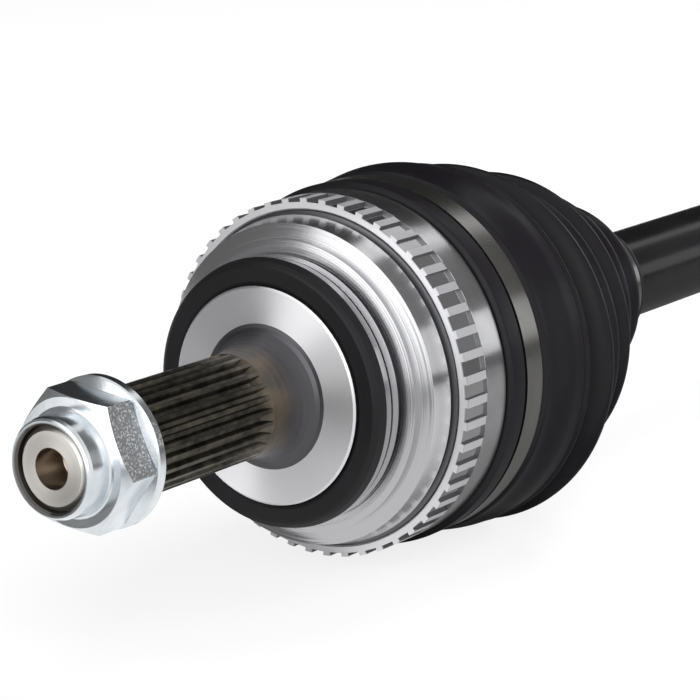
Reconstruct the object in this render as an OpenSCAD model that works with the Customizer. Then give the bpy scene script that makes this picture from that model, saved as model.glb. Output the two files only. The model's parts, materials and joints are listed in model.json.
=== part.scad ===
// Front drive shaft with a ball-type fixed joint at the wheel and a plunging ball joint at the gearbox.
// +X runs along the shaft from the axle nut to the gearbox stub, +Z is up, and the origin is on the
// shaft's axis in the plane of the seat face that the wheel hub is clamped against.

/* [Layout] */
// Distance from the hub seat face to the centre of the outer joint
outer_centre_x = 38; // [37:0.5:40]
// Distance between the centres of the two joints at mid plunge
centre_distance = 440; // [400:5:600]

/* [Stub and nut] */
// Major radius of the axle thread
thread_r = 10; // [9.8:0.1:10.4]
// Distance from the seat face to the threaded tip
stub_length = 77; // [74:0.2:80]
// Length of the axle thread
thread_length = 19.5; // [18:0.1:21]
// Outer radius of the hub splines
spline_r = 13.25; // [12.8:0.05:14]
// Depth of the hub spline grooves
spline_depth = 1.25; // [0.8:0.05:1.6]
// Number of hub spline teeth
spline_teeth = 26; // [22:1:30]
// Length of the fillet between the splines and the seat face
neck_length = 13; // [10:0.5:18]
// Radius of the centre drilling at the tip
centre_drill_r = 4.8; // [3:0.1:6]
// Depth of the centre drilling
centre_drill_depth = 9; // [5:0.5:14]
// Width across the flats of the nut
nut_flats = 30.6; // [28.6:0.2:31]
// Length of the nut's hexagon
nut_hex_length = 8.9; // [7:0.1:10]
// Radius at the foot of the nut's collar
collar_foot_r = 12.3; // [12.1:0.1:13.8]
// Radius of the collar's front rim
collar_rim_r = 11.1; // [10.95:0.05:11.3]
// Height of the nut's collar
collar_height = 6.8; // [5:0.1:7.6]
// Radius of the captive washer
washer_r = 18; // [17.8:0.1:20]
// Thickness of the washer's rim
washer_rim = 2.6; // [2:0.1:3.5]
// Height of the washer's cone above its rim
washer_cone = 0.8; // [0.6:0.1:1.6]
// Gap between the washer and the first spline
washer_gap = 1.2; // [0.5:0.1:3]

/* [Outer race] */
// Inner radius of the hub seat face
face_inner_r = 18.3; // [16:0.1:20]
// Outer radius of the hub seat face
face_outer_r = 27.5; // [26:0.1:28]
// Radius of the first turned step
step1_r = 34; // [33.4:0.1:35]
// Radius of the second turned step
step2_r = 37.3; // [36.6:0.1:38]
// Radius at the front of the third turned step
step3_r = 41; // [40.4:0.1:41.6]
// Radius at the back of the third turned step
step3_back_r = 42.2; // [41.8:0.1:42.6]
// Radius of the seat that carries the toothed ring
ring_seat_r = 43; // [42.8:0.1:43.2]
// Radius of the seat for the boot
boot_seat_r = 42.4; // [41.8:0.1:42.6]
// Distance from the seat face to the mouth of the outer race
mouth_x = 55; // [54:0.2:56]

/* [Toothed ring and seal ring] */
// Wall of the toothed ring over its seat
ring_wall = 3; // [2.6:0.1:3.4]
// Distance from the seat face to the front of the toothed ring
ring_front_x = 21.2; // [21:0.1:22]
// Length of the toothed ring
ring_length = 17.3; // [16:0.1:17.6]
// Number of teeth on the ring
ring_teeth = 50; // [40:1:60]
// Length of the tooth gaps
tooth_length = 8.8; // [6:0.1:11]
// Depth of the tooth gaps
tooth_depth = 1; // [0.8:0.1:1.8]
// Width of a tooth gap as a share of the pitch
tooth_gap = 0.63; // [0.4:0.01:0.7]
// Wall of the seal ring over the seat it sits on
seal_wall = 6.6; // [6.2:0.1:7.2]
// Width of the seal ring along the shaft
seal_width = 3.1; // [2.6:0.1:3.3]

/* [Joint balls] */
// Radius of the outer joint's balls
outer_ball_r = 8.75; // [8.4:0.05:9]
// Radius of the outer joint's ball circle
outer_pitch_r = 29.5; // [29:0.1:29.8]
// Clearance of the outer ball tracks, for the sideways creep of a ball at full bend
outer_creep = 1.03; // [1:0.01:1.15]
// Radius of the inner joint's balls
inner_ball_r = 8.35; // [8:0.05:8.6]
// Radius of the inner joint's ball circle
inner_pitch_r = 25.4; // [25:0.1:26]
// Clearance of the inner ball tracks, for the creep of a ball at full bend
inner_creep = 0.45; // [0.42:0.01:0.6]
// Wall of each cage
cage_wall = 5.6; // [5:0.1:6]
// Clearance between a cage and the sphere it turns in
cage_clearance = 0.08; // [0.05:0.01:0.1]
// Clearance of a ball along the shaft in its cage window
window_clearance = 0.05; // [0.02:0.01:0.1]
// Room for a ball on each side of its cage window
window_side = 1.1; // [0.6:0.1:1.4]

/* [Bar] */
// Radius of the bar between the joints
bar_r = 13; // [12.5:0.1:14]
// Radius of the bar's necks beside the joints
neck_r = 11.2; // [10.6:0.1:11.6]
// Outer radius of the splines at each end of the bar
bar_spline_r = 12; // [11.6:0.1:12.4]
// Depth of the splines at each end of the bar
bar_spline_depth = 0.9; // [0.6:0.1:1.2]
// Number of spline teeth at each end of the bar
bar_teeth = 24; // [20:1:30]

/* [Boots and clamps] */
// Radius of the outer boot at its first crest
outer_boot_r = 49.5; // [49:0.1:50.5]
// Length of the inner boot in front of the housing's mouth
inner_boot_length = 84; // [80:1:90]
// Distance from the seat face to the small end of the outer boot
outer_boot_end = 157; // [150:1:165]
// Thickness of the boots' rubber across the shaft
boot_wall = 3; // [2.6:0.1:3.2]
// Thickness of the outer boot under its large clamp
outer_cuff_wall = 4.15; // [3.8:0.05:4.5]
// Radius of the boots under their small clamps
small_cuff_r = 17.4; // [17:0.1:18]
// Width of the clamp bands
clamp_width = 7; // [6:0.5:9]
// Thickness of the clamp bands
clamp_thickness = 0.9; // [0.6:0.1:1.2]
// Radius of the inner boot at its largest crest
inner_boot_r = 42.5; // [42.2:0.1:44]

/* [Inner housing] */
// Outer radius of the inner housing
housing_r = 39; // [38.4:0.1:40]
// Distance from the inner joint's centre to the mouth of the housing
housing_mouth = 36; // [35.5:0.1:37]
// Distance from the inner joint's centre to the floor of the housing
housing_floor = 38.6; // [38:0.1:42]
// Radius of the journal that runs in the gearbox seal
journal_r = 17.5; // [16:0.1:20]
// Length of the seal journal
journal_length = 20; // [16:0.5:24]
// Outer radius of the gearbox splines
gearbox_spline_r = 13.9; // [13:0.1:15]
// Number of gearbox spline teeth
gearbox_teeth = 28; // [24:1:32]
// Length of the gearbox splines
gearbox_spline_length = 44; // [38:1:50]

/* [Hidden] */
BALLS = [1 : 6];

$fn = 96;
cut = 1;                       // how far a cutter stands out of what it cuts
location_gap = 0.05;           // radial gap of pieces pressed or slid on each other
running_gap = 0.3;             // gap between pieces that move past each other
thread_gap = 0.06;             // radial gap of the nut on the thread

outer_x = outer_centre_x;
inner_x = outer_centre_x + centre_distance;
tip_x = -stub_length;
spline_start = tip_x + thread_length;
washer_back = spline_start - washer_gap;
washer_front = washer_back - washer_rim - washer_cone;
hex_front = washer_front - nut_hex_length;
collar_front = hex_front - collar_height;
ring_end = ring_front_x + ring_length;
ring_r = ring_seat_r + ring_wall;
seal_r = face_outer_r + seal_wall;
tooth_turn = 0.89;             // turn of the tooth gaps about the shaft, in pitches
nut_turn = 36;                 // turn of the hexagon about the shaft, in degrees
step1_x = 4;                   // where the first turned step starts
step1_end = 9;                 // where the first turned step ends
step2_x = 10.8;                // where the second turned step starts
step3_x = 13.2;                // where the third turned step starts

outer_track_r = outer_ball_r + outer_creep;
inner_track_r = inner_ball_r + inner_creep;
outer_cage_r = outer_pitch_r + cage_wall / 2;
inner_cage_r = inner_pitch_r + cage_wall / 2;
outer_race_r = outer_cage_r - cage_wall - cage_clearance;
inner_race_r = inner_cage_r - cage_wall - cage_clearance;
outer_cage_half = 14.2;        // half the outer cage's width
inner_cage_half = 12.5;        // half the inner cage's width
outer_race_half = 12.5;        // half the width of the outer joint's inner race
inner_race_half = 11;          // half the width of the inner joint's inner race
cavity_depth = 26;             // how far the outer race is hollow before the joint's centre
spline_reach = 4;              // how far the bar stands out of its inner races
circlip_width = 1.6;
circlip_stand = 1.1;           // how far a circlip stands out of the shaft
neck_start = 4;                // how far behind an inner race the bar's neck starts
gearbox_spline_depth = 1.25;
cone_reach = 12.6;             // from the outer joint's centre to the cone at the race's mouth

boot_start = ring_end + running_gap;
outer_cuff_r = boot_seat_r + location_gap + outer_cuff_wall;
outer_clamp_x = 45.8;          // where the outer boot's large clamp starts
small_clamp_x = outer_boot_end - 3 - clamp_width;
outer_taper_x = small_clamp_x - 14;  // where the bar reaches its full radius
housing_start = inner_x - housing_mouth;
inner_cuff_r = housing_r + location_gap + boot_wall;
inner_clamp_x = housing_start + 6;
inner_boot_end = housing_start - inner_boot_length;
inner_taper_x = inner_boot_end + 24; // where the bar leaves its full radius
taper = 12;                    // length of the cones between the bar and its necks
bead = 0.9;                    // height of the beads beside the clamps
floor_x = inner_x + housing_floor;
housing_back = floor_x + 6;
journal_start = housing_back + 8;
journal_end = journal_start + journal_length;
stub_end = journal_end + 3 + gearbox_spline_length;
track_end = floor_x - 7;        // where the housing's ball tracks end
stub_drill_r = 4;
stub_drill_depth = 10;
clip_x = stub_end - 7.9;       // where the circlip near the stub's end starts
wire_x = housing_start + 3.85; // where the ring that keeps the balls in starts
wire_width = 1.6;

// Revolves an outline of [x, radius] points about the shaft's axis
module turned(outline) {
    rotate([0, 90, 0]) rotate_extrude() polygon([for (p = outline) [p[1], p[0]]]);
}

// Solid cylinder of radius r along the shaft's axis between two stations
module rod(r, x0, x1) {
    translate([x0, 0, 0]) rotate([0, 90, 0]) cylinder(r = r, h = x1 - x0);
}

// Ring between two radii and two stations
module band(r_in, r_out, x0, x1) {
    turned([[x0, r_in], [x0, r_out], [x1, r_out], [x1, r_in]]);
}

// Straight splines along the shaft's axis, with tapered flanks
module splines(r, depth, teeth, x0, x1) {
    pitch = 360 / teeth;
    outline = [for (i = [0 : teeth - 1], k = [[-0.34, 1], [-0.16, 0], [0.16, 0], [0.34, 1]])
        let (a = (i + 0.5 + k[0]) * pitch, q = r - depth * (1 - k[1])) [q * cos(a), q * sin(a)]];
    translate([x0, 0, 0]) rotate([0, 90, 0]) linear_extrude(x1 - x0) polygon(outline);
}

// Half a cosine wave from one [x, radius] point towards the next
function wave(a, b, steps) = [for (i = [0 : steps - 1]) let (t = i / steps)
    [a[0] + (b[0] - a[0]) * t, a[1] + (b[1] - a[1]) * (1 - cos(180 * t)) / 2]];

// Smooth line through crests and valleys
function bellows(points, steps) = concat(
    [for (i = [0 : len(points) - 2]) each wave(points[i], points[i + 1], steps)],
    [points[len(points) - 1]]);

// Outline moved inwards by the boot's wall and turned round, so that it closes a shell
function inside(outline) = [for (i = [len(outline) - 1 : -1 : 0])
    [outline[i][0], outline[i][1] - boot_wall]];

// Six ball tracks in arcs round the outer joint's centre
module outer_tracks(r) {
    sweep = 46;                // how far a track reaches to each side, in degrees
    translate([outer_x, 0, 0])
        for (i = BALLS) rotate([60 * i, 0, 0]) rotate([90, 0, 0]) rotate([0, 0, 90 - sweep])
            rotate_extrude(angle = 2 * sweep, $fn = 60)
                translate([outer_pitch_r, 0]) circle(r = r, $fn = 48);
}

// Six straight ball tracks from x0 to x1 round the inner joint
module inner_tracks(r, x0, x1) {
    for (i = BALLS) rotate([60 * i - 30, 0, 0]) translate([0, 0, inner_pitch_r]) rod(r, x0, x1);
}

// Ball cage with six windows, about the origin
module cage(outer_radius, half, ball_r) {
    window_half = ball_r + window_clearance;
    side = ball_r + window_side;
    corner = 3;
    difference() {
        intersection() {
            difference() {
                sphere(r = outer_radius);
                sphere(r = outer_radius - cage_wall);
            }
            rod(outer_radius + cut, -half, half);
        }
        for (i = BALLS) rotate([60 * i, 0, 0]) {
            for (c = [[window_half, side - corner], [window_half - corner, side]])
                translate([-c[0], -c[1], 0]) cube([2 * c[0], 2 * c[1], outer_radius + cut]);
            for (sx = [-1, 1], sy = [-1, 1])
                translate([sx * (window_half - corner), sy * (side - corner), 0])
                    cylinder(r = corner, h = outer_radius + cut);
        }
    }
}

// Open snap ring in a groove of radius r_in, its gap at the top
module snap_ring(r_in, r_out, x0, width) {
    gap = r_in / 2;
    difference() {
        band(r_in, r_out, x0, x0 + width);
        translate([x0 - cut, -gap / 2, 0]) cube([width + 2 * cut, gap, r_out + cut]);
    }
}

// Clamp band with its pinched ear, turned to the side away from the camera
module clamp(r, x0) {
    ear_height = 3.2;
    ear_half = 4.2;
    ear_wall = clamp_thickness;
    outer = r + clamp_thickness;
    translate([x0, 0, 0]) {
        band(r, outer, 0, clamp_width);
        rotate([-75, 0, 0]) difference() {
            translate([0, -ear_half, r + clamp_thickness / 2])
                cube([clamp_width, 2 * ear_half, ear_height]);
            translate([-cut, ear_wall - ear_half, 0])
                cube([clamp_width + 2 * cut, 2 * (ear_half - ear_wall),
                      r + clamp_thickness / 2 + ear_height - ear_wall]);
            rod(outer - clamp_thickness / 2, -cut, clamp_width + cut);
        }
    }
}

module outer_race() color("silver") difference() {
    // The spline grooves end in the arc of the wheel that cut them
    root = spline_r - spline_depth;
    start = root - 0.2;
    fillet_r = spline_r + 0.1;
    wheel_r = 12;
    wheel_steps = 6;
    wheel_turn = acos(1 - (fillet_r - start) / wheel_r);
    wheel_x = -neck_length - wheel_r * sin(wheel_turn);
    run_out = [for (i = [0 : wheel_steps]) let (a = wheel_turn * i / wheel_steps)
        [wheel_x + wheel_r * sin(a), start + wheel_r * (1 - cos(a))]];
    fillet_steps = 8;
    fillet_length = neck_length - 1;
    fillet = [for (i = [0 : fillet_steps]) let (a = 90 * i / fillet_steps)
        [fillet_length * (sin(a) - 1), face_inner_r - (face_inner_r - fillet_r) * cos(a)]];
    bore = outer_cage_r + cage_clearance;
    cone_x = outer_x + cone_reach;
    cone_r = sqrt(pow(bore, 2) - pow(cone_reach, 2));
    cone_end = mouth_x + cut;
    union() {
        turned(concat(
            [[tip_x, 0], [tip_x, thread_r - 1.3], [tip_x + 1.3, thread_r], [spline_start, thread_r],
             [spline_start + 1, root - 0.6], [wheel_x, root - 0.6]],
            run_out, fillet,
            [[0, face_outer_r - 0.5], [0.5, face_outer_r], [step1_x, face_outer_r], [step1_x, step1_r],
             [step1_x + 2, step1_r], [step1_x + 2.2, step1_r - 0.7], [step1_x + 2.6, step1_r - 0.7],
             [step1_x + 2.8, step1_r], [step1_end, step1_r], [step1_end + 0.2, step1_r - 1.8],
             [step2_x, step1_r - 1.8], [step2_x + 0.1, step2_r - 1.5], [step2_x + 0.5, step2_r],
             [step3_x, step2_r], [step3_x + 0.3, step3_r - 2.1], [step3_x + 0.9, step3_r],
             [ring_front_x - 1.9, step3_back_r], [ring_front_x - 1.5, step3_back_r - 0.4],
             [ring_front_x - 0.4, step3_back_r - 0.4],
             [ring_front_x - 0.2, ring_seat_r - location_gap], [ring_end, ring_seat_r - location_gap],
             [ring_end + 0.2, boot_seat_r], [mouth_x - 1, boot_seat_r], [mouth_x, boot_seat_r - 1],
             [mouth_x, 0]]));
        splines(spline_r, spline_depth, spline_teeth, spline_start, -neck_length);
    }
    turned([[tip_x - cut, 0], [tip_x - cut, centre_drill_r], [tip_x + centre_drill_depth, centre_drill_r],
            [tip_x + centre_drill_depth + centre_drill_r / 2, 0]]);
    intersection() {
        translate([outer_x, 0, 0]) sphere(r = bore, $fn = 72);
        rod(bore + cut, outer_x - cavity_depth, cone_end);
    }
    turned([[cone_x, 0], [cone_x, cone_r], [cone_end, cone_r + cone_end - cone_x], [cone_end, 0]]);
    outer_tracks(outer_track_r);
}

module hub_seal_ring() color("#2b2b2d") {
    x1 = step1_x - location_gap;
    x0 = x1 - seal_width;
    inner = face_outer_r + location_gap;
    turned([[x1, inner], [x0 + 0.6, inner], [x0 + 0.2, inner + 0.7], [x0, inner + 1.1], [x0, seal_r - 2],
            [x0 + 0.3, seal_r - 1.3], [x0 + 1, seal_r - 0.6], [x1, seal_r]]);
}

module tone_ring() color("gainsboro") difference() {
    turned([[ring_front_x + 0.5, ring_seat_r], [ring_front_x, ring_seat_r + 0.5], [ring_front_x, ring_r],
            [ring_end - 0.4, ring_r], [ring_end, ring_r - 0.4], [ring_end, ring_seat_r]]);
    gap_width = 2 * PI * ring_r / ring_teeth * tooth_gap;
    for (i = [0 : ring_teeth - 1]) rotate([360 * (i + tooth_turn) / ring_teeth, 0, 0])
        translate([ring_front_x - cut, -gap_width / 2, ring_r - tooth_depth])
            cube([tooth_length + cut, gap_width, tooth_depth + cut]);
}

module nut_washer() color("lightsteelblue") turned([
    [washer_front, thread_r + running_gap], [washer_front, nut_flats / 2 - 0.4],
    [washer_back - washer_rim, washer_r - 0.4], [washer_back - washer_rim + 0.4, washer_r],
    [washer_back - 0.3, washer_r], [washer_back, washer_r - 0.3], [washer_back, thread_r + running_gap]]);

module axle_nut() color("lightsteelblue") difference() {
    corner_r = nut_flats / 2 / cos(30);
    chamfer = 1.3;
    bore = thread_r + thread_gap;
    fillet = 0.7;
    union() {
        intersection() {
            translate([hex_front, 0, 0]) rotate([0, 90, 0]) rotate([0, 0, nut_turn])
                cylinder(r = corner_r, h = nut_hex_length - location_gap, $fn = 6);
            turned([[hex_front, 0], [hex_front, nut_flats / 2 - 0.2], [hex_front + chamfer, corner_r + 0.1],
                    [washer_front, corner_r + 0.1], [washer_front, 0]]);
        }
        turned([[hex_front + cut, 0], [hex_front + cut, collar_foot_r + fillet],
                [hex_front, collar_foot_r + fillet], [hex_front - 0.3 * fillet, collar_foot_r + 0.3 * fillet],
                [hex_front - fillet, collar_foot_r],
                [collar_front + 1.4, collar_rim_r + 0.8], [collar_front + 0.4, collar_rim_r + 0.5],
                [collar_front, collar_rim_r], [collar_front, 0]]);
    }
    rod(bore, collar_front - cut, washer_front + cut);
    turned([[collar_front - cut, 0], [collar_front - cut, bore + 0.5], [collar_front, bore + 0.5],
            [collar_front + 0.7, bore], [collar_front + 0.7, 0]]);
}

module outer_cage() color("dimgray") translate([outer_x, 0, 0])
    cage(outer_cage_r, outer_cage_half, outer_ball_r);

module outer_ball(i) color("lightgray") translate([outer_x, 0, 0])
    rotate([60 * i, 0, 0]) translate([0, 0, outer_pitch_r]) sphere(r = outer_ball_r);

module outer_inner_race() color("gray") difference() {
    intersection() {
        translate([outer_x, 0, 0]) sphere(r = outer_race_r);
        rod(outer_race_r, outer_x - outer_race_half, outer_x + outer_race_half);
    }
    outer_tracks(outer_track_r);
    splines(bar_spline_r + location_gap, bar_spline_depth, bar_teeth,
            outer_x - outer_race_half - cut, outer_x + outer_race_half + cut);
}

module outer_circlip() color("#3a3a3c") snap_ring(
    bar_spline_r - circlip_stand + location_gap, bar_spline_r + circlip_stand,
    outer_x - outer_race_half - location_gap - circlip_width, circlip_width);

module outer_boot() color("#262626") {
    // Crests and valleys, as shares of the way to the small clamp and of the boot's height
    folds = [[0.104, 1], [0.22, 0.96], [0.335, 0.972], [0.445, 0.685], [0.555, 0.804], [0.654, 0.47],
             [0.747, 0.548], [0.835, 0.243], [0.918, 0.277]];
    shoulder = clamp_thickness + 0.6;
    line = bellows(concat([[mouth_x - 0.4, outer_cuff_r + shoulder]],
        [for (f = folds) [mouth_x + f[0] * (small_clamp_x - mouth_x),
                          small_cuff_r + f[1] * (outer_boot_r - small_cuff_r)]],
        [[small_clamp_x - 1.5, small_cuff_r + bead]]), 8);
    seat = boot_seat_r + location_gap;
    bore = bar_r + running_gap;
    turned(concat(
        [[boot_start, outer_cuff_r - 0.8], [boot_start + 1.2, outer_cuff_r + bead],
         [outer_clamp_x - 1, outer_cuff_r + bead], [outer_clamp_x - 0.4, outer_cuff_r],
         [outer_clamp_x + clamp_width + 0.4, outer_cuff_r]],
        line,
        [[small_clamp_x - 0.4, small_cuff_r], [small_clamp_x + clamp_width + 0.4, small_cuff_r],
         [small_clamp_x + clamp_width + 1, small_cuff_r + bead], [outer_boot_end, small_cuff_r + bead / 2],
         [outer_boot_end, bore], [small_clamp_x - 2, bore]],
        inside([for (p = line) if (p[0] > mouth_x + 2 && p[0] < small_clamp_x - 5) p]),
        [[mouth_x + 1, seat], [boot_start, seat]]));
}

module outer_boot_clamp_large() color("#5b5e5a") clamp(outer_cuff_r + location_gap, outer_clamp_x);

module outer_boot_clamp_small() color("#4a4b4c") clamp(small_cuff_r + running_gap, small_clamp_x);

module axle_bar() color("#1d1d1f") {
    race1 = outer_x + outer_race_half;
    race2 = inner_x - inner_race_half;
    end1 = outer_x - outer_race_half - spline_reach;
    end2 = inner_x + inner_race_half + spline_reach;
    root = bar_spline_r - bar_spline_depth - 0.15;
    stop = bar_spline_r + 0.6;
    groove = circlip_width + 2 * location_gap;
    difference() {
        union() {
            turned([[end1, 0], [end1, root - 0.6], [end1 + 0.6, root], [race1, root], [race1 + 0.1, stop],
                    [race1 + neck_start / 2, stop], [race1 + neck_start, neck_r],
                    [outer_taper_x - taper, neck_r], [outer_taper_x, bar_r],
                    [inner_taper_x, bar_r], [inner_taper_x + taper, neck_r],
                    [race2 - neck_start, neck_r], [race2 - neck_start / 2, stop], [race2 - 0.1, stop],
                    [race2, root], [end2 - 0.6, root], [end2, root - 0.6], [end2, 0]]);
            splines(bar_spline_r, bar_spline_depth, bar_teeth, end1 + 0.8, race1 + 0.1);
            splines(bar_spline_r, bar_spline_depth, bar_teeth, race2 - 0.1, end2 - 0.8);
        }
        for (x = [outer_x - outer_race_half - groove, inner_x + inner_race_half])
            band(bar_spline_r - circlip_stand, bar_r, x, x + groove);
    }
}

module inner_race() color("gray") difference() {
    intersection() {
        translate([inner_x, 0, 0]) sphere(r = inner_race_r);
        rod(inner_race_r, inner_x - inner_race_half, inner_x + inner_race_half);
    }
    inner_tracks(inner_track_r, inner_x - inner_race_half - cut, inner_x + inner_race_half + cut);
    splines(bar_spline_r + location_gap, bar_spline_depth, bar_teeth,
            inner_x - inner_race_half - cut, inner_x + inner_race_half + cut);
}

module inner_circlip() color("#3a3a3c") snap_ring(
    bar_spline_r - circlip_stand + location_gap, bar_spline_r + circlip_stand,
    inner_x + inner_race_half + location_gap, circlip_width);

module inner_cage() color("dimgray") translate([inner_x, 0, 0]) rotate([-30, 0, 0])
    cage(inner_cage_r, inner_cage_half, inner_ball_r);

module inner_ball(i) color("lightgray") translate([inner_x, 0, 0])
    rotate([60 * i - 30, 0, 0]) translate([0, 0, inner_pitch_r]) sphere(r = inner_ball_r);

module inner_housing() color("#3c3d40") {
    bore = inner_cage_r + cage_clearance;
    rim_end = inner_clamp_x + clamp_width + 5;
    root = gearbox_spline_r - gearbox_spline_depth - 0.35;
    difference() {
        union() {
            turned([[housing_start, 0], [housing_start, housing_r - 1], [housing_start + 1, housing_r],
                    [rim_end, housing_r], [rim_end + 1.5, housing_r - 1.2],
                    [floor_x - 4, housing_r - 1.2], [housing_back - 2, housing_r - 7],
                    [housing_back, journal_r + 6], [journal_start - 1, journal_r + 4],
                    [journal_start - 0.4, journal_r + 1.5], [journal_start, journal_r],
                    [journal_end - 1, journal_r], [journal_end, journal_r - 1], [journal_end, root],
                    [stub_end - 1.5, root], [stub_end, root - 1.4], [stub_end, 0]]);
            splines(gearbox_spline_r, gearbox_spline_depth, gearbox_teeth, journal_end + 3, stub_end - 2);
        }
        rod(bore, housing_start - cut, floor_x);
        turned([[housing_start - cut, 0], [housing_start - cut, bore + 3], [housing_start + 2, bore],
                [housing_start + 2, 0]]);
        inner_tracks(inner_track_r, housing_start - cut, track_end);
        band(bore - cut, bore + 0.9, wire_x - location_gap, wire_x + wire_width + location_gap);
        band(root - 0.3, gearbox_spline_r + cut, clip_x - location_gap,
             clip_x + circlip_width + location_gap);
        rod(stub_drill_r, stub_end - stub_drill_depth, stub_end + cut);
    }
}

module housing_wire_ring() color("#6a6b6e") {
    bore = inner_cage_r + cage_clearance;
    gap = 6;
    difference() {
        band(bore - 1, bore + 0.85, wire_x, wire_x + wire_width);
        translate([wire_x - cut, -gap / 2, 0]) cube([wire_width + 2 * cut, gap, bore + 5]);
    }
}

module stub_circlip() color("#3a3a3c") snap_ring(
    gearbox_spline_r - gearbox_spline_depth - 0.6, gearbox_spline_r + 0.4, clip_x, circlip_width);

module inner_boot() color("#262626") {
    // Crests and valleys, as shares of the way to the housing and of the boot's height
    folds = [[0.333, 0.48], [0.417, 0.32], [0.5, 0.66], [0.583, 0.5], [0.667, 0.84], [0.75, 0.68],
             [0.833, 1], [0.905, 0.89]];
    neck_end = inner_boot_end + clamp_width;
    bore_end = neck_end + 6;
    line = bellows(concat([[neck_end + 5.5, small_cuff_r + bead]],
        [for (f = folds) [inner_boot_end + f[0] * inner_boot_length,
                          small_cuff_r + f[1] * (inner_boot_r - small_cuff_r)]],
        [[inner_clamp_x - 1, inner_cuff_r + bead]]), 8);
    cuff_end = inner_clamp_x + clamp_width;
    seat = housing_r + location_gap;
    bore = bar_r + running_gap;
    turned(concat(
        [[inner_boot_end, small_cuff_r + bead / 2], [inner_boot_end + 2, small_cuff_r + bead],
         [inner_boot_end + 2.6, small_cuff_r], [neck_end + 3.4, small_cuff_r]],
        line,
        [[inner_clamp_x - 0.4, inner_cuff_r], [cuff_end + 0.4, inner_cuff_r],
         [cuff_end + 1, inner_cuff_r + bead], [cuff_end + 3, inner_cuff_r + bead / 2],
         [cuff_end + 3, seat], [housing_start - 1, seat]],
        inside([for (p = line) if (p[0] > bore_end + 2 && p[0] < housing_start - 3) p]),
        [[bore_end, bore], [inner_boot_end, bore]]));
}

module inner_boot_clamp_large() color("#5b5e5a") clamp(inner_cuff_r + location_gap, inner_clamp_x);

module inner_boot_clamp_small() color("#4a4b4c") clamp(small_cuff_r + running_gap, inner_boot_end + 3);

outer_race();
hub_seal_ring();
tone_ring();
nut_washer();
axle_nut();
outer_cage();
for (i = BALLS) outer_ball(i);
outer_inner_race();
outer_circlip();
outer_boot();
outer_boot_clamp_large();
outer_boot_clamp_small();
axle_bar();
inner_race();
inner_circlip();
inner_cage();
for (i = BALLS) inner_ball(i);
inner_housing();
housing_wire_ring();
stub_circlip();
inner_boot();
inner_boot_clamp_large();
inner_boot_clamp_small();
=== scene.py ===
"""Looks of the drive shaft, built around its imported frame. Lengths are in metres, in the shaft's own frame.
+X runs from the axle nut to the gearbox stub, +Z is up, and the origin is in the plane of the seat face."""
import json
import math

import bpy
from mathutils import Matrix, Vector


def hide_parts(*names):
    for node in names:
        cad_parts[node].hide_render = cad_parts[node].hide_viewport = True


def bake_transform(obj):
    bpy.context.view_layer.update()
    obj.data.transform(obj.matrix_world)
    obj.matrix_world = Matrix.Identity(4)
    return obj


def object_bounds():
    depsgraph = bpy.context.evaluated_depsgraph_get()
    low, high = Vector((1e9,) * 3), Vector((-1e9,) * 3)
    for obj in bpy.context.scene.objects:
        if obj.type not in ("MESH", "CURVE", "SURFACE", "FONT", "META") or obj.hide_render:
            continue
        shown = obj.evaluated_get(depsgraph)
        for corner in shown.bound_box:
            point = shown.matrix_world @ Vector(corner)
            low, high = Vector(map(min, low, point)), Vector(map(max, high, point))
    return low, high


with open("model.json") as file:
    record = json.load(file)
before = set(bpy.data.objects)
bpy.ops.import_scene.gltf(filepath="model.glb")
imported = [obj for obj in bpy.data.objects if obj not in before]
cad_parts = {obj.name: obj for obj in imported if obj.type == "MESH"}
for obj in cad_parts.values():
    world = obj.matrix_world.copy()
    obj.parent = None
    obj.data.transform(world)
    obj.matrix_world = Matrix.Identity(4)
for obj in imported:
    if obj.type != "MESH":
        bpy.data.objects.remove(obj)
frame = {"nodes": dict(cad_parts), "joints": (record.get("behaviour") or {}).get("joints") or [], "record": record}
cad_low, cad_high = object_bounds()

MM = 0.001
JOINTS = {j["name"]: j for j in frame["joints"]}
INNER_X = JOINTS["inner_bend"]["pos_m"][0]
SEAT_R = 30 * MM            # front faces within this radius have the seat's finish, the others the steps'
NECK_R = 18.3 * MM          # where the dark fillet ends and the bright face starts
RING_R = 46 * MM            # over the teeth of the toothed ring
RING_FRONT = 21.2 * MM      # the toothed ring's front face
LAND_END = 29.7 * MM        # the teeth's rougher finish, brightened as a painted highlight, ends here, 0.3 mm before the teeth do
HEX_FRONT = -71 * MM        # where the nut's hexagon starts
GRAINY_TURN = 24            # degrees from -Y up to where the nut's grainy flat faces
THREAD_RIM_SHADE = (10.4 * MM, 11.2 * MM)   # painted shade round the thread: the nut is dark up to the first radius and bright from the second
SHADED_RECESSES = ((6.05, 6.75), (9.15, 10.75), (19.75, 21.1))   # the race's grooves, darkened with painted shade, in millimetres
DRILLING_R = 4.9 * MM       # just outside the centre drilling in the stub's end
SPLINE_START = -57.5 * MM   # the splines' end towards the nut
SPLINE_END = -13 * MM       # the splines' end towards the seat face

# The boots' sizes in millimetres, as in the part's source
BOOT_START = 38.8
BOOT_END = 157
BOOT_SEAT_R = 42.4
CUFF_R = 46.6
SMALL_CUFF_R = 17.4
BAR_R = 13
BEAD = 0.9                  # height of the beads beside the clamps
CLAMP_WIDTH = 7
OUTER_CLAMP = 45.8
SMALL_CLAMP = BOOT_END - 3 - CLAMP_WIDTH
HOUSING_R = 39
HOUSING_START = INNER_X / MM - 36
INNER_CUFF_R = HOUSING_R + 3.05
INNER_CLAMP = HOUSING_START + 6
INNER_BOOT_R = 42.5
INNER_BOOT_LENGTH = 84
INNER_BOOT_END = HOUSING_START - INNER_BOOT_LENGTH


# Node helpers

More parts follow.
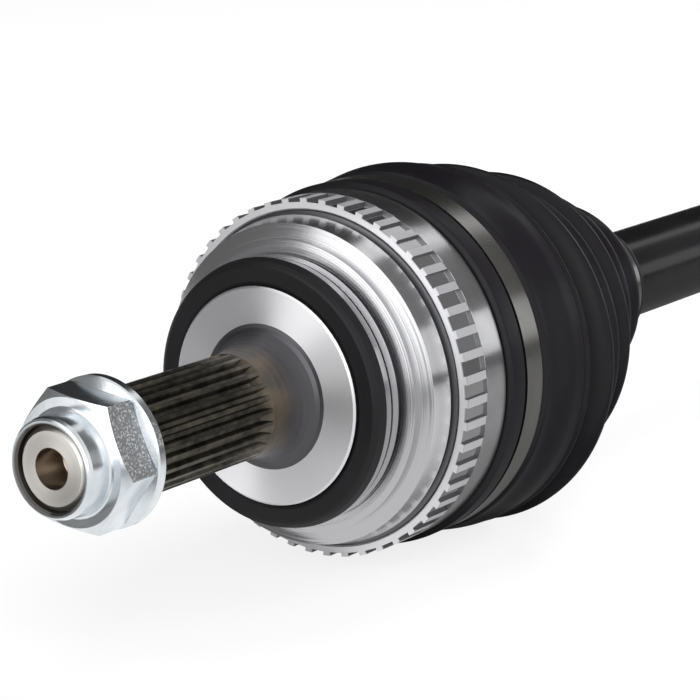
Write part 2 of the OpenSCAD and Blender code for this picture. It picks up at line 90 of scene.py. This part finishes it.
class Tree:
    """A short way to write a node tree: t.add("ShaderNodeMath", {...inputs}, attribute=value)."""

    def __init__(self, tree):
        self.tree = tree

    def add(self, kind, inputs=None, **attributes):
        node = self.tree.nodes.new(kind)
        for name, value in attributes.items():
            setattr(node, name, value)
        for name, value in (inputs or {}).items():
            self.put(node.inputs[name], value)
        return node

    def put(self, socket, value):
        if isinstance(value, bpy.types.NodeSocket):
            self.tree.links.new(value, socket)
        else:
            socket.default_value = value

    def math(self, operation, a, b=0.0, clamp=False):
        return self.add("ShaderNodeMath", {0: a, 1: b}, operation=operation, use_clamp=clamp).outputs[0]

    def ramp(self, value, low, high, out_low=0.0, out_high=1.0):
        """Maps low..high to out_low..out_high, held at the ends."""
        node = self.add("ShaderNodeMapRange", {"Value": value, "From Min": low, "From Max": high,
                                               "To Min": out_low, "To Max": out_high})
        return node.outputs[0]

    def mix(self, factor, a, b):
        """Mixes two colours."""
        node = self.add("ShaderNodeMix", data_type="RGBA")
        self.put(node.inputs[0], factor)
        self.put(node.inputs[6], a)
        self.put(node.inputs[7], b)
        return node.outputs[2]

    def noise(self, vector, scale, detail=2.0, roughness=0.5):
        node = self.add("ShaderNodeTexNoise", {"Vector": vector, "Scale": scale, "Detail": detail,
                                               "Roughness": roughness})
        return node.outputs["Fac"]

    def bump(self, height, distance, strength=1.0):
        node = self.add("ShaderNodeBump", {"Height": height, "Distance": distance, "Strength": strength})
        return node.outputs["Normal"]


def rgb(red, green, blue):
    """A colour from 0-255 display values."""
    def linear(value):
        value /= 255
        return value / 12.92 if value <= 0.04045 else ((value + 0.055) / 1.055) ** 2.4
    return (linear(red), linear(green), linear(blue), 1.0)


def new_material(name):
    """An empty material and the tree to build it in."""
    material = bpy.data.materials.new(name)
    material.use_nodes = True
    material.node_tree.nodes.clear()
    return material, Tree(material.node_tree)


def finish_material(t, shader):
    out = t.add("ShaderNodeOutputMaterial")
    t.put(out.inputs["Surface"], shader)


def position(t):
    """The place on the surface, in the object's own frame."""
    return t.add("ShaderNodeTexCoord").outputs["Object"]


def axial(t):
    """The place on the surface, its x, its radius from the shaft's axis, its y and its z."""
    place = position(t)
    x, y, z = t.add("ShaderNodeSeparateXYZ", {0: place}).outputs
    radius = t.math("SQRT", t.math("ADD", t.math("MULTIPLY", y, y), t.math("MULTIPLY", z, z)))
    return place, x, radius, y, z


def facing(t, y, z, radius):
    """The surface normal's part along the shaft, and the size of its part round the shaft."""
    normal = t.add("ShaderNodeTexCoord").outputs["Normal"]
    along, ny, nz = t.add("ShaderNodeSeparateXYZ", {0: normal}).outputs
    cross = t.math("SUBTRACT", t.math("MULTIPLY", nz, y), t.math("MULTIPLY", ny, z))
    return along, t.math("ABSOLUTE", t.math("DIVIDE", cross, radius))


def turning_lines(t, x, radius, scale):
    """Fine lines that run round the axis, as a lathe tool leaves them."""
    along = t.add("ShaderNodeCombineXYZ", {"X": x, "Y": radius, "Z": 0.0}).outputs[0]
    return t.noise(along, scale, detail=3.0, roughness=0.65)


def around(t):
    """The direction round the shaft's axis, in which turned steel stretches its highlights."""
    return t.add("ShaderNodeTangent", direction_type="RADIAL", axis="X").outputs["Tangent"]


def metal(t, colour, roughness, normal=None, aniso=0.0, tangent=None, rotation=0.0):
    values = {"Base Color": colour, "Metallic": 1.0, "Roughness": roughness}
    if normal is not None:
        values["Normal"] = normal
    if tangent is not None:
        values["Tangent"] = tangent
        values["Anisotropic"] = aniso
        values["Anisotropic Rotation"] = rotation
    return t.add("ShaderNodeBsdfPrincipled", values).outputs[0]


def shader_mix(t, factor, a, b):
    node = t.add("ShaderNodeMixShader", {0: factor, 1: a, 2: b})
    return node.outputs[0]


# Materials

def turned_steel():
    """The outer race: bright turned steel, with a dark phosphated stub and fillet."""
    material, t = new_material("turned_steel")
    place, x, radius, y, z = axial(t)
    lines = turning_lines(t, x, radius, 2600)
    broad = turning_lines(t, x, radius, 320)
    bright = t.mix(t.ramp(broad, 0.3, 0.7), rgb(200, 200, 202), rgb(218, 218, 221))
    turned = metal(t, bright, 0.2, t.bump(broad, 0.0001, 0.35), 0.7, around(t), 0.25)
    coarse = t.bump(turning_lines(t, x, radius, 500), 0.0004, 0.7)
    seat_face = metal(t, rgb(236, 236, 239), 0.38, t.bump(lines, 0.00002, 0.4), 0.9, around(t), 0.25)
    step_faces = metal(t, rgb(188, 188, 190), 0.24, coarse, 0.7, around(t), 0.25)
    faced = shader_mix(t, t.math("GREATER_THAN", radius, SEAT_R), seat_face, step_faces)
    along = facing(t, y, z, radius)[0]
    bright_bsdf = shader_mix(t, t.math("LESS_THAN", along, -0.7), turned, faced)
    # painted shade: a darker copy of the bright steel for the race's grooves
    shade = t.mix(0.85, bright, rgb(52, 52, 54))
    painted_shade_recess = metal(t, shade, 0.3, t.bump(lines, 0.00002, 0.4), 0.5, around(t), 0.25)
    for start, end in SHADED_RECESSES:
        inside = t.math("MULTIPLY", t.math("GREATER_THAN", x, start * MM), t.math("LESS_THAN", x, end * MM))
        bright_bsdf = shader_mix(t, inside, bright_bsdf, painted_shade_recess)
    patina = t.noise(place, 260, 4, 0.6)
    dark = t.mix(t.ramp(patina, 0.35, 0.7), rgb(60, 58, 55), rgb(108, 103, 92))
    # a lighter brown band at the splines' end towards the seat face: brown tone and a painted highlight
    brown_and_highlight = t.mix(t.ramp(t.noise(place, 90, 2), 0.4, 0.65), rgb(112, 101, 84), rgb(82, 79, 77))
    dark = t.mix(t.ramp(x, SPLINE_END - 3 * MM, SPLINE_END + 2 * MM), dark, brown_and_highlight)
    dark = t.mix(t.ramp(x, SPLINE_END + 3 * MM, SPLINE_END + 8 * MM), dark, rgb(84, 83, 86))
    dark_bsdf = metal(t, dark, 0.34, t.bump(patina, 0.00006, 0.5))
    tip = t.mix(t.ramp(broad, 0.3, 0.7), rgb(214, 210, 204), rgb(232, 229, 224))
    tip = t.mix(t.math("LESS_THAN", radius, DRILLING_R), tip, rgb(168, 157, 144))
    tip_bsdf = metal(t, tip, 0.3, t.bump(lines, 0.00002, 0.5), 0.5, around(t), 0.25)
    is_stub = t.math("MULTIPLY", t.math("LESS_THAN", x, 0.3 * MM), t.math("LESS_THAN", radius, NECK_R))
    is_tip = t.math("LESS_THAN", x, SPLINE_START + 0.2 * MM)
    shader = shader_mix(t, is_stub, bright_bsdf, dark_bsdf)
    finish_material(t, shader_mix(t, is_tip, shader, tip_bsdf))
    return material


def zinc():
    """Bright zinc on the nut and its washer, grainy on two opposite flats of the hexagon."""
    material, t = new_material("zinc")
    place, x, radius = axial(t)[:3]
    cloud = t.noise(place, 120, 3)
    colour = t.mix(t.ramp(cloud, 0.35, 0.65), rgb(208, 214, 218), rgb(230, 234, 238))
    # painted shade: the nut is darkened round the thread
    colour = t.mix(t.ramp(radius, *THREAD_RIM_SHADE), rgb(92, 90, 88), colour)
    grain = t.noise(place, 2400, 2)
    smooth = metal(t, colour, 0.2, t.bump(grain, 0.00003, 0.3))
    sparkle = t.noise(place, 2000, 2)
    blasted = metal(t, t.mix(t.ramp(sparkle, 0.5, 0.68), rgb(158, 159, 161), rgb(248, 249, 250)), 0.4,
                    t.bump(sparkle, 0.00025, 0.9))
    normal = t.add("ShaderNodeTexCoord").outputs["Normal"]
    turn = math.radians(GRAINY_TURN)
    toward = t.add("ShaderNodeVectorMath", {0: normal, 1: (0, -math.cos(turn), math.sin(turn))},
                   operation="DOT_PRODUCT").outputs["Value"]
    grainy = t.math("MULTIPLY", t.math("GREATER_THAN", t.math("ABSOLUTE", toward), 0.99),
                    t.math("GREATER_THAN", x, HEX_FRONT))
    finish_material(t, shader_mix(t, grainy, smooth, blasted))
    return material


def ring_steel():
    """The toothed ring: smooth plated steel, turned on its faces and its plain band."""
    material, t = new_material("ring_steel")
    place, x, radius, y, z = axial(t)
    lines = turning_lines(t, x, radius, 2600)
    cloud = t.noise(place, 60, 3)
    colour = t.mix(t.ramp(cloud, 0.35, 0.65), rgb(200, 200, 202), rgb(220, 220, 222))
    band = metal(t, colour, 0.2, t.bump(lines, 0.00002, 0.3), 0.6, around(t), 0.25)
    along, across = facing(t, y, z, radius)
    face = metal(t, rgb(226, 226, 228), 0.4, t.bump(lines, 0.00002, 0.3))
    lean = t.bump(t.math("MULTIPLY", x, 0.12), 1.0)
    # painted shade: the gaps' side and rear walls get a darker, rougher steel than their floors
    shaded_wall = t.math("MAXIMUM", t.ramp(across, 0.3, 0.5), t.math("LESS_THAN", along, -0.7))
    gap = shader_mix(t, shaded_wall, metal(t, rgb(210, 210, 212), 0.2, lean), metal(t, rgb(134, 134, 136), 0.5))
    in_gap = t.math("LESS_THAN", radius, RING_R - 0.1 * MM)
    # painted highlight: the teeth's tops are brighter than the band, with a rougher finish
    land_painted_highlight = metal(t, rgb(236, 236, 238), 0.6, t.bump(lines, 0.00002, 0.3))
    outside = shader_mix(t, t.math("LESS_THAN", x, LAND_END), band, land_painted_highlight)
    shader = shader_mix(t, in_gap, outside, gap)
    finish_material(t, shader_mix(t, t.math("LESS_THAN", x, RING_FRONT + 0.3 * MM), shader, face))
    return material


def satin(name, colour_a, colour_b, roughness, scale, depth, specular=0.5):
    """Moulded rubber or plastic with a faint mottle and a fine skin, duller deep in its folds and darkened there
    by painted shade from ambient occlusion.
    """
    material, t = new_material(name)
    place = position(t)
    cloud = t.noise(place, 45, 4, 0.6)
    skin = t.noise(place, scale, 3, 0.6)
    colour = t.mix(t.ramp(cloud, 0.35, 0.7), colour_a, colour_b)
    rough = t.ramp(cloud, 0.3, 0.7, roughness - 0.04, roughness + 0.05)
    ao_shade = t.add("ShaderNodeAmbientOcclusion", {"Distance": 0.014}).outputs["AO"]
    rough = t.math("ADD", rough, t.ramp(ao_shade, 0.45, 0.85, 0.3, 0.0))
    # painted shade: the colour darkens to near black where ambient occlusion finds a fold
    colour = t.mix(t.ramp(ao_shade, 0.35, 0.8), rgb(3, 3, 3), colour)
    bsdf = t.add("ShaderNodeBsdfPrincipled", {
        "Base Color": colour, "Roughness": rough, "Specular IOR Level": specular,
        "Normal": t.bump(skin, depth, 0.5)}).outputs[0]
    finish_material(t, bsdf)
    return material


def clamp_steel():
    """The clamps' rolled band, with fine lines along it."""
    material, t = new_material("clamp_steel")
    place, x, radius = axial(t)[:3]
    lines = turning_lines(t, x, radius, 900)
    cloud = t.noise(place, 70, 3)
    colour = t.mix(t.ramp(cloud, 0.35, 0.65), rgb(138, 138, 136), rgb(156, 155, 152))
    finish_material(t, metal(t, colour, 0.24, t.bump(lines, 0.00002, 0.5), 0.5, around(t), 0.25))
    return material


def bar_paint():
    """Black paint on the bar, slightly uneven."""
    material, t = new_material("bar_paint")
    place = position(t)
    peel = t.noise(place, 350, 2)
    cloud = t.noise(place, 30, 3)
    colour = t.mix(t.ramp(cloud, 0.35, 0.7), rgb(12, 12, 13), rgb(18, 18, 19))
    bsdf = t.add("ShaderNodeBsdfPrincipled", {
        "Base Color": colour, "Roughness": t.ramp(cloud, 0.3, 0.7, 0.2, 0.27),
        "Specular IOR Level": 0.25, "Coat Weight": 0.05, "Coat Roughness": 0.12,
        "Normal": t.bump(peel, 0.00006, 0.35)}).outputs[0]
    finish_material(t, bsdf)
    return material


def plain_metal(name, colour_a, colour_b, roughness):
    """Steel that varies between two tones, with a fine skin."""
    material, t = new_material(name)
    place = position(t)
    cloud = t.noise(place, 80, 3)
    skin = t.noise(place, 900, 2)
    colour = t.mix(t.ramp(cloud, 0.35, 0.65), colour_a, colour_b)
    finish_material(t, metal(t, colour, roughness, t.bump(skin, 0.00003, 0.4)))
    return material


MATERIALS = {
    "turned_steel": turned_steel(),
    "zinc": zinc(),
    "ring_steel": ring_steel(),
    "seal_black": satin("seal_black", rgb(20, 20, 22), rgb(25, 24, 27), 0.42, 1400, 0.00003, 0.2),
    "boot_rubber": satin("boot_rubber", rgb(14, 12, 16), rgb(20, 18, 22), 0.36, 1100, 0.00003, 0.22),
    "clamp_steel": clamp_steel(),
    "bar_paint": bar_paint(),
    "race_steel": plain_metal("race_steel", rgb(150, 148, 144), rgb(172, 170, 166), 0.25),
    "ball_steel": plain_metal("ball_steel", rgb(205, 205, 208), rgb(222, 222, 225), 0.08),
    "spring_steel": plain_metal("spring_steel", rgb(60, 60, 62), rgb(84, 84, 86), 0.35),
    "housing_paint": satin("housing_paint", rgb(30, 30, 32), rgb(42, 42, 44), 0.36, 500, 0.00006),
}
SLOT_OF = {part["node"]: part["material_slot"] for part in frame["record"]["subparts"]}
for name, node in frame["nodes"].items():
    node.data.materials.clear()
    node.data.materials.append(MATERIALS[SLOT_OF[name]])
    for face in node.data.polygons:
        face.material_index = 0


# Boots

def wave(a, b, steps):
    """Half a cosine wave from one (x, radius) point towards the next."""
    return [(a[0] + (b[0] - a[0]) * i / steps,
             a[1] + (b[1] - a[1]) * (1 - math.cos(math.pi * i / steps)) / 2) for i in range(steps)]


def bellows(points, steps=14):
    """A smooth line through crests and valleys."""
    line = []
    for a, b in zip(points, points[1:]):
        line += wave(a, b, steps)
    return line + [points[-1]]


def round_corners(points, radius=0.4, steps=4):
    """Replaces each inner corner of an open outline by a small curve."""
    line = [points[0]]
    for a, b, c in zip(points, points[1:], points[2:]):
        a, b, c = Vector(a), Vector(b), Vector(c)
        before = b + (a - b).normalized() * min(radius, (a - b).length / 2)
        after = b + (c - b).normalized() * min(radius, (c - b).length / 2)
        for i in range(steps + 1):
            t = i / steps
            line.append(tuple(before * (1 - t) ** 2 + b * 2 * t * (1 - t) + after * t ** 2))
    return line + [points[-1]]


def lathe(name, outline, turns=256, lean=None):
    """Revolves (x, radius) points in millimetres about the shaft's axis, pushed aside by lean(x)."""
    verts, faces = [], []
    for x, radius in outline:
        side, low = lean(x) if lean else (0.0, 0.0)
        for i in range(turns):
            angle = 2 * math.pi * i / turns
            y = radius * math.cos(angle) + side
            z = radius * math.sin(angle) + low
            verts.append((x * MM, y * MM, z * MM))
    for k in range(len(outline) - 1):
        for i in range(turns):
            j = (i + 1) % turns
            faces.append((k * turns + i, k * turns + j, (k + 1) * turns + j, (k + 1) * turns + i))
    mesh = bpy.data.meshes.new(name)
    mesh.from_pydata(verts, [], faces)
    mesh.update()
    for face in mesh.polygons:
        face.use_smooth = True
    piece = bpy.data.objects.new(name, mesh)
    bpy.context.scene.collection.objects.link(piece)
    return piece


def outer_boot_lean(x):
    """How far the soft rubber stands aside and hangs down at x, as the photograph shows it."""
    def swell(start, end):
        return math.sin(math.pi * min(max((x - start) / (end - start), 0), 1)) ** 2
    return 0.5 * swell(105, 146) - 3.5 * swell(56, 104), 1.2 * swell(117, 147) - 2.5 * swell(59, 125)


def make_outer_boot():
    """From the bell to the bar: cuff, dome, moulded double line, folds and neck, as (x, radius) points."""
    seat = BOOT_SEAT_R + 0.05
    cuff = round_corners([
        (BOOT_START, seat), (BOOT_START, CUFF_R - 0.3), (BOOT_START + 0.8, CUFF_R + BEAD),
        (OUTER_CLAMP - 0.8, CUFF_R + BEAD), (OUTER_CLAMP - 0.3, CUFF_R),
        (OUTER_CLAMP + CLAMP_WIDTH + 0.3, CUFF_R), (OUTER_CLAMP + CLAMP_WIDTH + 1.2, CUFF_R + 1.2)])
    dome = bellows([(54.6, 48.2), (63.5, 49.4), (68.4, 48.9)])[:-1]
    crease = [(68.6, 48.5), (69, 48.4), (69.4, 48.6), (69.8, 48.9), (70.3, 48.8), (70.8, 48.2)]
    folds = bellows([(71.2, 47.4), (74.6, 43.6), (80.2, 48.6), (89.5, 39.6), (96.8, 43.6), (100.4, 38.8),
                     (105.6, 42.3), (114.5, 31), (122.5, 33.4), (130, 24), (138.5, 26.6), (145.6, 18.8)], 12)
    neck = round_corners([
        (SMALL_CLAMP - 0.4, SMALL_CUFF_R), (SMALL_CLAMP + CLAMP_WIDTH + 0.4, SMALL_CUFF_R),
        (SMALL_CLAMP + CLAMP_WIDTH + 0.9, SMALL_CUFF_R + BEAD), (BOOT_END - 0.5, SMALL_CUFF_R + 0.7),
        (BOOT_END, SMALL_CUFF_R), (BOOT_END, BAR_R)])
    boot = lathe("outer_boot_rubber", cuff + dome + crease + folds + neck, lean=outer_boot_lean)
    boot.data.materials.append(MATERIALS["boot_rubber"])
    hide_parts("outer_boot")
    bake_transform(boot)


def make_inner_boot():
    """In two halves, because it crosses the bending joint and the sliding one."""
    neck_end = INNER_BOOT_END + CLAMP_WIDTH
    height = INNER_BOOT_R - SMALL_CUFF_R
    neck = round_corners([
        (INNER_BOOT_END, BAR_R), (INNER_BOOT_END, SMALL_CUFF_R), (INNER_BOOT_END + 0.5, SMALL_CUFF_R + 0.7),
        (INNER_BOOT_END + 2, SMALL_CUFF_R + BEAD), (INNER_BOOT_END + 2.6, SMALL_CUFF_R),
        (neck_end + 3.4, SMALL_CUFF_R)])
    # Each crest and valley, as shares of the boot's length and height
    shares = [(0.333, 0.48), (0.417, 0.32), (0.5, 0.66), (0.583, 0.5), (0.667, 0.84), (0.75, 0.68),
              (0.833, 1), (0.905, 0.89)]
    folds = [(INNER_BOOT_END + a * INNER_BOOT_LENGTH, SMALL_CUFF_R + b * height) for a, b in shares]
    start = (neck_end + 4.5, SMALL_CUFF_R + BEAD)
    cuff_end = INNER_CLAMP + CLAMP_WIDTH
    cuff = round_corners([
        (INNER_CLAMP - 1, INNER_CUFF_R + BEAD), (INNER_CLAMP - 0.4, INNER_CUFF_R),
        (cuff_end + 0.4, INNER_CUFF_R), (cuff_end + 1, INNER_CUFF_R + BEAD),
        (cuff_end + 2.6, INNER_CUFF_R + 0.7), (cuff_end + 3, INNER_CUFF_R), (cuff_end + 3, HOUSING_R)])
    narrow = lathe("inner_boot_narrow_half", neck + bellows([start] + folds[:5]))
    wide = lathe("inner_boot_wide_half", bellows(folds[4:]) + wave(folds[-1], cuff[0], 10) + cuff)
    for half in (narrow, wide):
        half.data.materials.append(MATERIALS["boot_rubber"])
        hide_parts("inner_boot")
    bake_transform(narrow)
    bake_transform(wide)


make_outer_boot()
make_inner_boot()


# Stage

def aim(obj, target):
    """Turns a lamp or camera towards a point."""
    obj.rotation_euler = (Vector(target) - obj.location).to_track_quat("-Z", "Y").to_euler()


def area_light(name, place, target, size, power, size_y=None):
    """A soft lamp aimed at a point, which metal and gloss don't see."""
    data = bpy.data.lights.new(name, "AREA")
    data.shape = "RECTANGLE"
    data.size = size
    data.size_y = size_y or size
    data.energy = power
    lamp = bpy.data.objects.new(name, data)
    bpy.context.scene.collection.objects.link(lamp)
    lamp.location = place
    lamp.visible_glossy = False
    aim(lamp, target)


def white_for_view(t):
    """1 for rays from the camera, and for those that metal and glass send on."""
    path = t.add("ShaderNodeLightPath")
    both = t.math("MAXIMUM", path.outputs["Is Camera Ray"], path.outputs["Is Glossy Ray"])
    return t.math("MAXIMUM", both, path.outputs["Is Transmission Ray"])


def make_world():
    """White as it is seen and mirrored, and dimmer in the light that it gives."""
    world = bpy.data.worlds.new("studio")
    bpy.context.scene.world = world
    world.use_nodes = True
    t = Tree(world.node_tree)
    t.tree.nodes.clear()
    strength = t.ramp(white_for_view(t), 0, 1, 0.55, 1.0)
    background = t.add("ShaderNodeBackground", {"Color": (1, 1, 1, 1), "Strength": strength})
    t.put(t.add("ShaderNodeOutputWorld").inputs["Surface"], background.outputs[0])


def floor_reflection(t):
    """How bright the floor looks in gloss, where 1 is white. Ahead of the nut it is brightest on the
    camera's side and grey on the other. It is white round the nut, grey in front of the shaft, and white
    behind it."""
    place = t.add("ShaderNodeTexCoord").outputs["Object"]
    x, y, z = t.add("ShaderNodeSeparateXYZ", {0: place}).outputs
    front = t.math("MINIMUM", t.ramp(y, -0.09, -0.01, 0.34, 0.2), t.ramp(y, -0.6, -0.4, 0.1, 0.34))
    beside_shaft = t.math("MAXIMUM", front, t.ramp(y, 0.12, 0.16, 0.0, 1.0))
    border = t.math("SUBTRACT", x, t.math("MULTIPLY", y, 0.83))
    ahead = t.ramp(border, -0.32, -0.28, 1.5, 0.2)
    aside = t.ramp(t.math("ADD", y, t.math("MULTIPLY", x, 0.7)), -0.02, 0.02, 1.5, 0.2)
    before_nut = t.math("MINIMUM", ahead, aside)
    near_nut = t.math("GREATER_THAN", t.math("SUBTRACT", x, t.math("MULTIPLY", y, 1.5)), -0.15)
    under_nut = t.math("MAXIMUM", near_nut, t.math("GREATER_THAN", x, -0.045))
    beside_bell = t.math("GREATER_THAN", t.math("ADD", x, t.math("MULTIPLY", y, 0.55)), 0.008)
    level = t.add("ShaderNodeMix", {0: under_nut, 2: before_nut, 3: 1.0}).outputs[0]
    return t.add("ShaderNodeMix", {0: beside_bell, 2: level, 3: beside_shaft}).outputs[0]


def make_floor():
    """A pale floor that keeps a faint shadow for the camera."""
    bpy.ops.mesh.primitive_plane_add(size=30, location=(0, 0, cad_low.z - 0.0005))
    floor = bpy.context.object
    floor.name = "floor"
    material, t = new_material("floor_white")
    path = t.add("ShaderNodeLightPath")
    white = t.add("ShaderNodeEmission", {"Color": (1, 1, 1, 1), "Strength": 1.0}).outputs[0]
    paper = t.add("ShaderNodeBsdfDiffuse", {"Color": (0.9, 0.9, 0.9, 1)}).outputs[0]
    seen = t.math("MAXIMUM", path.outputs["Is Camera Ray"], path.outputs["Is Transmission Ray"])
    look = shader_mix(t, t.math("MULTIPLY", seen, 0.82), paper, white)
    level = floor_reflection(t)
    mirrored = t.add("ShaderNodeEmission", {"Color": (1, 1, 1, 1), "Strength": level}).outputs[0]
    finish_material(t, shader_mix(t, path.outputs["Is Glossy Ray"], look, mirrored))
    floor.data.materials.append(material)


def card(name, points, level):
    """A studio card that only metal and gloss can see, at a brightness where 1 is white."""
    mesh = bpy.data.meshes.new(name)
    half = len(points) // 2
    mesh.from_pydata(points, [], [(i, i + 1, half + i + 1, half + i) for i in range(half - 1)])
    mesh.update()
    panel = bpy.data.objects.new(name, mesh)
    bpy.context.scene.collection.objects.link(panel)
    material, t = new_material(name)
    finish_material(t, t.add("ShaderNodeEmission", {"Color": (1, 1, 1, 1), "Strength": level}).outputs[0])
    mesh.materials.append(material)
    panel.visible_camera = False
    panel.visible_diffuse = False
    panel.visible_shadow = False
    panel.visible_transmission = False


def curved_card(name, start, end, level, near=0.3, far=4.0):
    """A long card round the shaft's axis; angles in degrees, from the camera's side (-Y) over the top."""
    radius, steps = 1.2, 12
    points = []
    for x in (near, far):
        for i in range(steps + 1):
            angle = math.radians(start + (end - start) * i / steps)
            points.append((x, -radius * math.cos(angle), radius * math.sin(angle)))
    card(name, points, level)


def make_cards():
    """Dark strips beside open white ones, which draw the bands on the turned steel."""
    curved_card("card_low_front", -3, 4, 0.1)
    curved_card("card_front", 31, 80, 0.18)
    curved_card("card_back", 96, 183, 0.03)
    curved_card("card_end", 4, 31, 0.08, 0.74, 1.2)
    card("card_aside", [(-1.5, 1.0, -0.04), (0.3, 1.0, -0.04), (-1.5, 1.0, 1.3), (0.3, 1.0, 1.3)], 0.2)
    card("card_ahead", [(-1.5, -1.6, -0.04), (-1.5, 1.0, -0.04), (-1.5, -1.6, 1.6), (-1.5, 1.0, 1.6)], 2.3)


def make_camera():
    """The photograph's view, found from the circles of the stub, the race and the ring."""
    data = bpy.data.cameras.new("camera")
    data.sensor_width = 36
    data.lens = 133.7
    data.clip_start = 0.01
    camera = bpy.data.objects.new("camera", data)
    bpy.context.scene.collection.objects.link(camera)
    camera.location = (-0.4874, -0.3771, 0.1634)
    aim(camera, Vector(camera.location) + Vector((0.7880, 0.5675, -0.2390)))
    bpy.context.scene.camera = camera


def make_lamps():
    """Three soft lamps, all aimed just behind the seat face."""
    target = (0.02, 0, 0)
    area_light("key", (0.95, -0.85, 0.35), target, 0.35, 18, 0.9)
    area_light("top", (0.9, -0.05, 1.1), target, 0.9, 16, 0.3)
    area_light("fill", (-0.9, -0.6, 0.5), target, 0.6, 6.5)


make_world()
make_floor()
make_cards()
make_camera()
make_lamps()

bpy.context.scene.view_settings.view_transform = "Standard"
